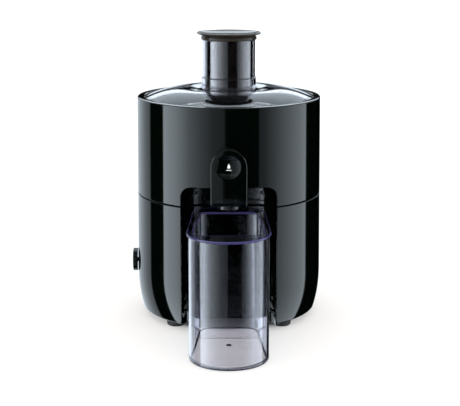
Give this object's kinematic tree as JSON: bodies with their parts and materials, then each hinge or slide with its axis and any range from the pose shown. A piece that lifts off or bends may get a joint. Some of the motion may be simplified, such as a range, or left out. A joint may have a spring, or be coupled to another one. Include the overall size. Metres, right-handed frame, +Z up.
{
  "type": "centrifugal juicer",
  "caption": "Round gloss-black centrifugal juicer: motor base, lift-off pulp housing with front spout, clear domed lid with feed chute and pusher, and a clear lidded jug in its bay.",
  "frame": {"origin": "middle of the whole object's footprint, on the surface it stands on", "axes": "+Z up, -Y the front with the spout and jug, +X to the right seen from the front"},
  "size_m": [0.261, 0.3872, 0.391],
  "materials": {
    "body_black": "high gloss",
    "trim_black": "satin",
    "cap_grey": "satin",
    "clear_plastic": "clear, polished",
    "smoke_plastic": "dark tinted, polished",
    "stainless": "brushed",
    "steel": "plain",
    "lamination": "varnished stack",
    "copper": "enamelled",
    "rubber": "matt",
    "white_plastic": "satin"
  },
  "bodies": {
    "base": {"base_shell": "body_black", "base_plate": "trim_black", "foot_front_left": "rubber", "foot_front_right": "rubber", "foot_rear_left": "rubber", "foot_rear_right": "rubber", "base_screw_1": "steel", "base_screw_2": "steel", "base_screw_3": "steel", "base_screw_4": "steel", "stator_core": "lamination", "field_coil_left": "copper", "field_coil_right": "copper", "motor_lower_bracket": "steel", "motor_upper_bracket": "steel", "lower_bearing": "steel", "upper_bearing": "steel", "shaft_seal": "rubber", "motor_mount_1": "rubber", "motor_mount_2": "rubber", "motor_mount_3": "rubber", "motor_mount_4": "rubber", "brush_holder_left": "white_plastic", "brush_holder_right": "white_plastic", "switch_module": "white_plastic", "interlock_switch": "white_plastic", "cord_gland": "rubber"},
    "rotor": {"motor_shaft": "steel", "armature_core": "lamination", "commutator": "copper", "cooling_fan": "trim_black", "drive_coupling": "trim_black"},
    "speed_knob": {"speed_knob": "body_black"},
    "housing": {"pulp_housing": "body_black", "pulp_housing_wall": "body_black", "juice_bowl": "smoke_plastic", "bowl_seal": "rubber", "spout_body": "smoke_plastic", "spout_cover": "body_black", "valve_seal": "rubber"},
    "drip_knob": {"drip_stop_knob": "body_black", "drip_stop_gate": "trim_black"},
    "basket": {"basket_hub": "trim_black", "grater_disc": "stainless", "filter_cone": "stainless", "basket_rim": "stainless"},
    "lid": {"lid": "clear_plastic", "lid_seal": "rubber"},
    "pusher": {"pusher_body": "cap_grey", "pusher_cap": "cap_grey"},
    "jug": {"jug": "clear_plastic"},
    "jug_lid": {"jug_lid": "clear_plastic", "foam_separator": "clear_plastic"}
  },
  "joints": [
    {"name": "rotor_spin", "type": "hinge", "parent": "base", "child": "rotor", "pos_m": [0.00365, 0.06575, 0.026], "axis": [0, 0, 1], "continuous": true},
    {"name": "speed_knob_turn", "type": "hinge", "parent": "base", "child": "speed_knob", "pos_m": [-0.10935, 0.06575, 0.0728], "axis": [-1, 0, 0], "range_deg": [0, 90]},
    {"name": "housing_lift", "type": "slide", "parent": "base", "child": "housing", "axis": [0, 0, 1], "range_m": [0, 0.1]},
    {"name": "drip_knob_turn", "type": "hinge", "parent": "housing", "child": "drip_knob", "pos_m": [0.00365, -0.07175, 0.2307], "axis": [0, -1, 0], "range_deg": [0, 90]},
    {"name": "basket_spin", "type": "hinge", "parent": "housing", "child": "basket", "pos_m": [0.00365, 0.06575, 0.222], "axis": [0, 0, 1], "continuous": true},
    {"name": "lid_lift", "type": "slide", "parent": "housing", "child": "lid", "axis": [0, 0, 1], "range_m": [0, 0.1]},
    {"name": "pusher_slide", "type": "slide", "parent": "lid", "child": "pusher", "axis": [0, 0, 1], "range_m": [0, 0.15]},
    {"name": "jug_slide", "type": "slide", "parent": "base", "child": "jug", "axis": [0, -1, 0], "range_m": [0, 0.2]},
    {"name": "jug_lid_lift", "type": "slide", "parent": "jug", "child": "jug_lid", "axis": [0, 0, 1], "range_m": [0, 0.008]}
  ],
  "couplings": [
    {"joint": "basket_spin", "follows": "rotor_spin", "ratio": 1}
  ]
}
